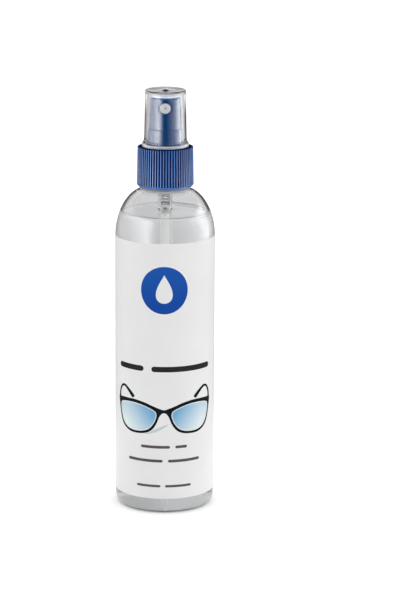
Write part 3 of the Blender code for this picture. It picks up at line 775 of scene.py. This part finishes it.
def make_collar():
    low, high = 159.30, COLLAR_TOP - 0.02
    depths = {
        TAU * (k + share) / RIBS: RIB_DEPTH * depth
        for k in range(RIBS)
        for share, depth in RIB_PROFILE
    }
    levels = [high - 0.12, high - 0.25, high - 0.5, high - 1.0]
    levels += [high - 1.0 - (high - low - 2.2) * i / 5 for i in range(1, 6)]
    levels += [low + 0.8, low + 0.5, low + 0.3, low + 0.15]
    outline = [
        *filleted([
            (9.15, 175.9), (9.15, COLLAR_TOP), (11.5, COLLAR_TOP), (11.5, 176.2), (12.62, 176.2),
            (12.62, COLLAR_TOP), (13.0, COLLAR_TOP),
        ], 0.12, False)[1:],
        (collar_radius(high) - 0.12, COLLAR_TOP - 0.01),
        (collar_radius(high) - 0.03, COLLAR_TOP - 0.05),
        *[(collar_radius(z), z) for z in levels],
        (collar_radius(low), low),
        (13.70, 159.0), (13.62, 158.85), (13.3, 158.45), (12.98, 158.12),
        *filleted([(12.9, 158.02), (12.75, 157.95), (12.3, 157.95), (12.08, 158.3)], 0.1, False),
        (COLLAR_BORE, 158.9),
        *[(COLLAR_BORE, 162.4 + 0.32 * i) for i in range(22)],
        (COLLAR_BORE, 174.6),
        *filleted([(COLLAR_BORE, 175.7), (9.15, 175.7)], 0.3, False),
        (9.15, 175.9),
    ]
    thread_start = NECK_TOP - 2.0 - PITCH * 1.75

    def shift(angle, r, z):
        if r > 13.2 and low + 0.05 < z:
            return -depths[angle] * min(1.0, (z - low) / 0.6) ** 0.6
        if abs(r - COLLAR_BORE) < 0.001 and 162 < z < 170:
            from_start = (angle - 0.25 * TAU) % TAU
            return -thread_height(from_start, z, thread_start, turns=1.25, width=0.75, crest=0.85)
        return 0.0

    def finish_or_painted_light(r, z):
        # Faces below the crests get the painted shade.
        return 1 if z > 159.2 and collar_radius(z) - r > RIB_FLOOR else 0

    mesh = lathe_mesh("collar_ribbed", outline, 0, shift=shift, angles=list(depths))
    made = piece("collar_ribbed", mesh, "collar", BLUE_COLLAR, "screw_collar", sharp=50)
    finish_or_paint_faces(made, (BLUE_GROOVE_SHADE,), finish_or_painted_light)


def make_tower():
    outline = filleted([
        (8.0, 186.1), (8.25, 186.1), (8.4, 185.9), (8.75, 179.7), (9.0, 179.0), (8.8, 178.3),
        (8.8, 175.4), (10.4, 175.4), (10.4, 173.2), (9.8, 173.2), (9.8, 174.3), (2.2, 174.3),
        (2.2, 175.4), (7.9, 175.4), (7.9, 185.9),
    ], 0.12)
    turned("tower_chimney", outline, 128, "pump", BLUE_TOWER, "pump_tower")


# --- pump -------------------------------------------------------------------------------------
def make_pump():
    housing = filleted([
        (9.5, 174.0), (9.5, 173.0), (6.2, 173.0), (6.2, 165.8), (5.6, 165.2), (3.5, 165.2),
        (3.5, 146.4), (2.4, 144.8), (2.4, 141.8), (2.2, 141.5), (1.8, 141.5), (1.6, 141.9),
        (1.6, 144.0), (0.8, 144.0), (0.8, 144.4), (1.75, 145.6), (1.75, 148.0), (2.6, 148.0),
        (2.6, 166.5), (5.0, 166.5), (5.0, 174.0),
    ], 0.15)
    turned("housing_barrel", housing, 96, "pump", HOUSING, "pump_housing")
    tube = filleted([(1.5, 143.75), (1.5, 6.4), (0.8, 6.4), (0.8, 143.75)], 0.1)
    rings = 120, 90, 60, 30
    tube = [
        *tube[:4], *[(1.5, z) for z in rings],
        *tube[4:12], *[(0.8, z) for z in reversed(rings)],
        *tube[12:],
    ]
    turned("tube_dip", tube, 48, "pump", TUBE_GLOWING, "dip_tube")
    gasket = filleted([(10.4, 172.7), (10.4, 171.9), (8.6, 171.9), (8.6, 172.7)], 0.15)
    turned("gasket_neck", gasket, 96, "pump", FOAM, "neck_gasket")
    guide = filleted([
        (4.8, 173.8), (4.8, 166.8), (2.45, 166.8), (2.45, 165.4), (2.05, 165.4), (2.05, 172.4),
        (2.8, 172.4), (2.8, 168.0), (4.1, 168.0), (4.1, 173.8),
    ], 0.1)
    turned("guide_plug", guide, 72, "pump", GUIDE, "stem_guide")
    ring = filleted([(3.8, 173.9), (3.8, 172.7), (2.0, 172.7), (2.0, 173.9)], 0.15)
    turned("gasket_stem", ring, 64, "pump", SEAL, "stem_gasket")
    wire = 0.17
    mesh = wire_mesh("spring_return", coil(2.2, 148.2, 158.0, wire, turns=9, per_turn=28), wire)
    metal = steel("steel_return_spring")
    spring = piece("spring_return", mesh, "pump", metal, "return_spring", sharp=0)
    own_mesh(spring)

    stem = filleted([
        (1.6, 193.7), (1.9, 193.2), (1.9, 165.2), (2.35, 165.2), (2.35, 164.2), (0.95, 164.2),
        (0.95, 193.7),
    ], 0.1)
    turned("stem_tube", stem, 56, "plunger", WHITE_STEM, "pump_stem")
    pin = [(0.0, 173.6), *filleted([
        (0.3, 173.6), (0.55, 173.6), (0.80, 173.2), (0.80, 159.6), (1.40, 159.4), (2.30, 159.2),
        (2.30, 158.2), (1.45, 158.2), (1.30, 156.0), (0.90, 155.6), (0.3, 155.6),
    ], 0.08, False), (0.0, 155.6)]
    turned("pin_valve", pin, 48, "plunger", WHITE_PIN, "valve_pin", closed=False)
    wire = 0.14
    mesh = wire_mesh("spring_piston", coil(1.4, 161.0, 164.0, wire, turns=5, per_turn=24), wire)
    metal = steel("steel_piston_spring")
    small = piece("spring_piston", mesh, "plunger", metal, "piston_spring", sharp=0)
    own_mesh(small)
    piston = filleted([
        (2.48, 163.2), (2.48, 162.85), (2.25, 162.2), (2.25, 160.6), (2.48, 159.95), (2.48, 159.6),
        (2.25, 159.6), (2.05, 160.0), (1.00, 160.0), (1.00, 160.8), (1.90, 160.8), (1.90, 162.8),
        (2.20, 163.2),
    ], 0.06)
    turned("piston_cup", piston, 56, "piston", PISTON, "piston_seal")
    low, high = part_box("check_ball")
    ball_r, ball_z = (high.z - low.z) / 2 / MM, (high.z + low.z) / 2 / MM
    ball = arc((0.0, ball_z), (ball_r, ball_r), 90, -90, 20)
    mesh = lathe_mesh("ball_check", ball, 36, closed=False)
    piece("ball_check", mesh, "ball", steel("steel_ball", 0.62, 0.74), "check_ball", sharp=0)


def coil(radius, seat, top, wire, turns, per_turn):
    """Centre line of a spring of this wire radius, with closed ends, between two faces."""
    low, high = seat + wire, top - wire
    closed = wire * 2.25              # the rise of an end turn, which all but touches itself
    found = []
    for i in range(turns * per_turn + 1):
        wound = i / per_turn
        if wound < 1:
            z = low + wound * closed
        elif wound > turns - 1:
            z = high - (turns - wound) * closed
        else:
            z = low + closed + (wound - 1) / (turns - 2) * (high - low - 2 * closed)
        found.append((radius * math.cos(TAU * wound), radius * math.sin(TAU * wound), z))
    return found


# --- button, nozzle and overcap ---------------------------------------------------------------
def button_radius(z):
    return BUTTON_R - 0.3 * (z - BUTTON_LOW) / (BUTTON_TOP - BUTTON_LOW)


def boolean(obj, mesh, operation):
    """Cuts or joins a closed mesh, and keeps the result as obj's mesh."""
    other = bpy.data.objects.new("cutter", mesh)
    SCENE.objects.link(other)
    cut = obj.modifiers.new("cut", "BOOLEAN")
    cut.operation = operation
    cut.object = other
    bpy.context.view_layer.update()
    graph = bpy.context.evaluated_depsgraph_get()
    made = bpy.data.meshes.new_from_object(obj.evaluated_get(graph))
    obj.modifiers.clear()
    obj.data = made
    bpy.data.objects.remove(other)


def facing_front(mesh, z, y):
    """Turns a mesh made about +Z so that its axis points to -Y at a height."""
    tipped = Matrix.Rotation(math.radians(90), 4, "X")
    mesh.transform(Matrix.Translation(Vector((0, y, z)) * MM) @ tipped)
    return mesh


def make_button():
    shell = [
        (0.0, 200.7), (1.8, 200.74), (3.6, 200.86), (5.0, 201.08), (5.9, 201.3),
        *arc((button_radius(200.7) - 1.0, 200.4), (1.0, 1.0), 88, 4, 8),
        *[(button_radius(z), z) for z in (198, 195, 192, 189, 187)],
        *filleted([
            (BUTTON_R, BUTTON_LOW), (BUTTON_R, 183.0), (6.85, 183.0), (6.55, 199.5), (3.3, 199.5),
            (3.3, 184.6), (2.25, 184.6), (2.0, 185.2), (2.0, 194.0),
        ], 0.15, False),
        (0.0, 194.0),
    ]
    button = turned("button_cap", shell, 128, "button", BLUE_BUTTON, "actuator_button", closed=False)
    boss = [(0.0, 7.0), (3.45, 7.0), (3.45, 2.6), (0.0, 2.6)]
    boss_mesh = lathe_mesh("boss", boss, 48, closed=False)
    boolean(button, facing_front(boss_mesh, NOZZLE_Z - 0.2, 0), "UNION")
    front = button_radius(NOZZLE_Z)
    pocket = [
        (2.75, front + 3.0), (2.75, front - 0.05), (2.62, front - 0.25), (2.62, front - 3.6),
        (1.55, front - 3.6), (1.55, front - 1.4), (0.0, front - 1.4), (0.0, front + 3.0),
    ]
    boolean(button, facing_front(lathe_mesh("pocket", pocket, 64), NOZZLE_Z, 0), "DIFFERENCE")
    hole = [(0.0, 6.2), (0.6, 6.2), (0.6, 0.0), (0.0, 0.0)]
    channel = lathe_mesh("channel", hole, 24, closed=False)
    boolean(button, facing_front(channel, NOZZLE_Z, 0), "DIFFERENCE")
    riser = [(0.0, NOZZLE_Z + 0.5), (0.6, NOZZLE_Z + 0.5), (0.6, 193.0), (0.0, 193.0)]
    boolean(button, lathe_mesh("riser", riser, 24, closed=False), "DIFFERENCE")
    shade(button.data)

    nozzle = filleted([
        (0.28, -0.70), (0.55, -0.26), (0.90, 0.0), (1.40, 0.0), (1.52, -0.16), (1.68, -0.16),
        (1.80, 0.0), (2.15, 0.0), (2.5, -0.35), (2.5, -3.3), (1.75, -3.3), (1.75, -1.2), (0.28, -1.2),
    ], 0.06)
    mesh = facing_front(lathe_mesh("nozzle_swirl", nozzle, 64), NOZZLE_Z, -(front + 0.05))
    piece("nozzle_swirl", mesh, "button", WHITE_NOZZLE, "nozzle_insert")


CAP_RIBS = 8                          # inside the foot
CAP_RIB_PLACE, CAP_RIB_SIZE = (9.37, 0, 182.15), (0.5, 0.45, 6.5)


def make_overcap():
    top, low = CAP_TOP, CAP_LOW
    outline = [
        (0.0, top - 0.05),
        *filleted([
            (0.95, top - 0.05), (1.05, top - 0.75), (1.75, top - 0.75), (2.05, top - 0.50),
            (4.5, top - 0.32),
        ], 0.10, False),
        (6.5, top - 0.12), (7.8, top - 0.02), (8.6, top),
        *arc((9.1, top - 0.62), (0.65, 0.62), 84, 2, 8),
        *[(9.75 + 0.45 * (204 - z) / 22.5, z) for z in (202, 198, 194, 190, 186, 183)],
        *filleted([
            (10.2, low + 4.2), (10.32, low + 3.2), (10.75, low + 2.0), (11.2, low + 1.4),
            (11.35, low + 1.1), (11.35, low), (10.25, low), (9.75, low + 0.7), (9.45, low + 1.5),
            (9.36, low + 2.4),
        ], 0.25, False),
        (9.2, 186), (9.1, 192), (9.0, 198), (8.85, 203.0),
        *arc((8.25, 202.9), (0.6, 0.5), 10, 90, 5),
        (4.0, 203.4),
        *filleted([(2.4, 203.4), (2.1, 202.9), (0.9, 202.7)], 0.2, False)[1:],
        (0.0, 202.7),
    ]

    def finish_or_painted_light(r, z):
        lip = r > 10.9 and z < low + 1.5
        # The gate nub and the ring under it are painted dark.
        gate_dark = r < 2.35 and z < 203.39 or r < 1.1 and z > 203.9
        return 2 if gate_dark else 1 if lip else 0

    cap = turned("cap_over", outline, ROUND, "overcap", CAP, "overcap", closed=False)
    finish_or_paint_faces(cap, (CAP_LIP, CAP_GATE_DARK), finish_or_painted_light)
    ribs = bmesh.new()
    for i in range(CAP_RIBS):
        place = (
            Matrix.Rotation(TAU * (i + 0.5) / CAP_RIBS, 4, "Z")
            @ Matrix.Translation(Vector(CAP_RIB_PLACE) * MM)
            @ Matrix.Diagonal(Vector(CAP_RIB_SIZE) * MM).to_4x4()
        )
        bmesh.ops.create_cube(ribs, size=1.0, matrix=place)
    boolean(cap, made_mesh("cap_ribs", ribs), "UNION")
    shade(cap.data)


# --- stage, light and camera ------------------------------------------------------------------
FLOOR_HALF, FLOOR_DROP = 6, 0.00005   # metres: the floor lies a hair below the foot


def make_floor():
    mesh = bpy.data.meshes.new("floor")
    corners = [(x * FLOOR_HALF, y * FLOOR_HALF, 0) for x, y in ((-1, -1), (1, -1), (1, 1), (-1, 1))]
    mesh.from_pydata(corners, [], [(0, 1, 2, 3)])
    made, tree, shader = shader_material(
        "floor_paper", Roughness=0.9, Specular_IOR_Level=0.1,
        Emission_Color=(1, 1, 1, 1), Emission_Strength=0.16,
    )
    cloudy = ranged(tree, noise(tree, scale=60, detail=3.0), 0, 1)
    tree.links.new(
        tinted(tree, cloudy, (0.93, 0.93, 0.93), (0.95, 0.95, 0.95)), shader.inputs["Base Color"]
    )
    mesh.materials.append(made)
    floor = bpy.data.objects.new("floor", mesh)
    floor.location.z = -FLOOR_DROP
    SCENE.objects.link(floor)


def angle_around(tree, vector):
    """A direction's angle round Z, 0 to 1 with 0.5 at the camera and more on its right, and its Z."""
    axes = split(tree, vector)
    turn = worked(tree, "ARCTAN2", axes["X"], worked(tree, "MULTIPLY", axes["Y"], -1.0))
    return ramp(tree, turn, -math.pi, math.pi), axes["Z"]


def brightness(tree, angle, stops):
    """A brightness that follows the angle round Z, from stops of (degrees, brightness)."""
    most = max(value for degrees, value in stops)
    colours = tree.nodes.new("ShaderNodeValToRGB")
    spots = colours.color_ramp.elements
    for degrees, value in stops:
        place = (degrees + 180) / 360
        spot = spots[0] if place <= 0 else spots[-1] if place >= 1 else spots.new(place)
        spot.color = (value / most, value / most, value / most, 1)
    tree.links.new(angle, colours.inputs["Fac"])
    return worked(tree, "MULTIPLY", colours.outputs["Color"], most)


# Stops of (degrees round from the front, brightness).
BOTH_SIDES = [   # what PANELS and PANELS_BACK share: broad panels at both sides, and a dark front
    (-118, 1.2), (-92, 2.0), (-64, 3.6), (-46, 5.0), (-35, 4.4), (-26, 1.7), (-15, 0.30), (-7, 0.0),
    (9, 0.0), (20, 0.20), (36, 0.60), (60, 1.2), (80, 2.6), (98, 4.8), (113, 3.9), (128, 1.0),
]
PANELS = [       # seen in reflections
    (-180, 0.06), (-160, 0.10), (-140, 0.4), *BOTH_SIDES, (144, 0.2), (160, 0.08), (180, 0.06),
]
PANELS_BACK = [  # the same at the height where the liquid's surface mirrors the back
    (-180, 0.95), (-150, 1.05), (-135, 0.9), *BOTH_SIDES, (140, 0.95), (150, 1.15), (180, 0.95),
]
PANELS_LOW = [   # the same below the panels
    (-180, 0.20), (-130, 0.26), (-90, 0.56), (-45, 0.50), (-15, 0.12), (15, 0.12), (45, 0.35),
    (90, 0.60), (130, 0.30), (180, 0.20),
]
PANELS_HIGH = [  # the same above the panels
    (-180, 1.50), (-150, 1.45), (-120, 0.65), (-90, 0.60), (-45, 0.55), (0, 0.35), (45, 0.55),
    (90, 0.62), (120, 0.70), (150, 1.45), (180, 1.50),
]
BACKDROP = [     # seen straight through clear parts: light grey behind, and dark flags at both sides
    (-180, 0.74), (-150, 0.66), (-116, 0.44), (-99, 0.10), (-80, 0.10), (-60, 0.42), (0, 0.62),
    (60, 0.42), (80, 0.10), (99, 0.10), (116, 0.48), (150, 0.72), (180, 0.74),
]
BACKDROP_HIGH = [  # the same higher up, seen through the cap
    (-180, 0.60), (-162, 0.46), (-130, 0.26), (-104, 0.06), (-80, 0.06), (-60, 0.42), (0, 0.62),
    (60, 0.42), (80, 0.06), (104, 0.05), (130, 0.16), (162, 0.36), (180, 0.60),
]
TENT = [         # the world outside the drum, which lights matt surfaces
    (-180, 0.78), (-140, 0.82), (-110, 0.84), (-60, 0.92), (-36, 0.60), (-20, 0.12), (0, 0.02),
    (18, 0.12), (40, 0.70), (65, 1.16), (85, 1.30), (120, 1.06), (150, 0.82), (180, 0.78),
]
ROOF = 1.45

# Bands of height on the drum, in metres, in which one of these gives way to the next.
TO_PANELS, TO_PANELS_BACK, TO_PANELS_HIGH = (0.104, 0.120), (0.168, 0.180), (0.205, 0.230)
TO_BACKDROP_HIGH = 0.132, 0.150
TO_COLLAR, FROM_COLLAR = (0.114, 0.122), (0.142, 0.150)
# The same by how high a direction in the tent points, by a ray's length in metres, and by how many
# surfaces a ray has gone through.
TO_ROOF = 0.45, 0.80
NEAR = 0.147, 0.143
OUTSIDE, DEEP = (1.0, 0.0), (4.0, 5.0)

FIRST_MIRROR = 0.35                   # share of a panel that the outermost surfaces mirror
COLLAR_MIRROR = 0.62                  # the same at the height that the collar mirrors
BOTTLE_MIRROR = 0.10                  # the same for the bottle's front, which lies nearer the panels
IN_BOTTLE = 0.62                      # met by light that was reflected inside the bottle
SCATTERED = 1.0                       # met by light that a matt surface has spread
DRUM_R, DRUM_LOW, DRUM_TOP = 160, 0.5, 800


def make_world():
    """A light tent: a bright roof, soft walls at both sides, and a darker front."""
    world = bpy.data.worlds.new("tent")
    bpy.context.scene.world = world
    world.use_nodes = True
    tree = world.node_tree
    background = tree.nodes["Background"]
    coords = tree.nodes.new("ShaderNodeTexCoord")
    angle, height = angle_around(tree, coords.outputs["Generated"])
    lit = blended(tree, ramp(tree, height, *TO_ROOF), brightness(tree, angle, TENT), ROOF)
    tree.links.new(lit, background.inputs["Strength"])
    background.inputs["Color"].default_value = (1, 1, 1, 1)


def make_drum():
    """An open drum of studio panels round the object, which the camera doesn't see."""
    mesh = lathe_mesh("panel_drum", [(DRUM_R, DRUM_LOW), (DRUM_R, DRUM_TOP)], 96, closed=False)
    made = bpy.data.materials.new("panel_drum")
    made.use_nodes = True
    tree = made.node_tree
    tree.nodes.remove(tree.nodes["Principled BSDF"])
    light = tree.nodes.new("ShaderNodeEmission")
    tree.links.new(light.outputs[0], tree.nodes["Material Output"].inputs["Surface"])
    coords = tree.nodes.new("ShaderNodeTexCoord")
    angle, height = angle_around(tree, coords.outputs["Object"])
    path = tree.nodes.new("ShaderNodeLightPath").outputs

    def at(source, band, before, after):
        return blended(tree, ramp(tree, source, *band), before, after)

    low_drop, high_drop = (brightness(tree, angle, stops) for stops in (BACKDROP, BACKDROP_HIGH))
    through = at(height, TO_BACKDROP_HIGH, low_drop, high_drop)
    panels = brightness(tree, angle, PANELS_LOW)
    panels = at(height, TO_PANELS, panels, brightness(tree, angle, PANELS))
    panels = at(height, TO_PANELS_BACK, panels, brightness(tree, angle, PANELS_BACK))
    panels = at(height, TO_PANELS_HIGH, panels, brightness(tree, angle, PANELS_HIGH))
    share = at(height, TO_COLLAR, FIRST_MIRROR, COLLAR_MIRROR)
    share = at(height, FROM_COLLAR, share, FIRST_MIRROR)
    share = at(path["Ray Length"], NEAR, share, BOTTLE_MIRROR)
    weak = worked(tree, "MULTIPLY", panels, share)
    mirror = at(path["Transmission Depth"], OUTSIDE, panels, weak)
    mirror = at(path["Transmission Depth"], DEEP, mirror, IN_BOTTLE)
    direct = blended(tree, path["Glossy Depth"], through, mirror)
    spread = worked(tree, "MAXIMUM", path["Diffuse Depth"], path["Is Diffuse Ray"])
    tree.links.new(blended(tree, spread, direct, SCATTERED), light.inputs["Strength"])
    made.cycles.emission_sampling = "NONE"
    mesh.materials.append(made)
    drum = bpy.data.objects.new("panel_drum", mesh)
    SCENE.objects.link(drum)
    drum.visible_camera = drum.visible_diffuse = drum.visible_shadow = False
    drum.visible_volume_scatter = False


LENS, SENSOR = 157.8, 36.0
CAMERA_PLACE = 0.0173, -1.2471, 0.3984
CAMERA_DOWN, CAMERA_ROLL = 13.41, 0.344  # degrees


def make_camera():
    data = bpy.data.cameras.new("camera")
    data.lens, data.sensor_width, data.sensor_fit = LENS, SENSOR, "AUTO"
    data.clip_start, data.clip_end = 0.05, 50
    camera = bpy.data.objects.new("camera", data)
    camera.matrix_world = (
        Matrix.Translation(CAMERA_PLACE)
        @ Matrix.Rotation(math.radians(90 - CAMERA_DOWN), 4, "X")
        @ Matrix.Rotation(math.radians(CAMERA_ROLL), 4, "Z")
    )
    SCENE.objects.link(camera)
    bpy.context.scene.camera = camera


make_bottle()
make_fluid()
make_label()
make_print()
make_collar()
make_tower()
make_pump()
make_button()
make_overcap()
make_floor()
make_world()
make_drum()
make_camera()
view = bpy.context.scene.view_settings
view.view_transform = "Standard"
view.look = "None"
cycles = bpy.context.scene.cycles     # light goes through many clear surfaces here
cycles.max_bounces = cycles.transmission_bounces = cycles.transparent_max_bounces = 24

bpy.context.view_layer.update()
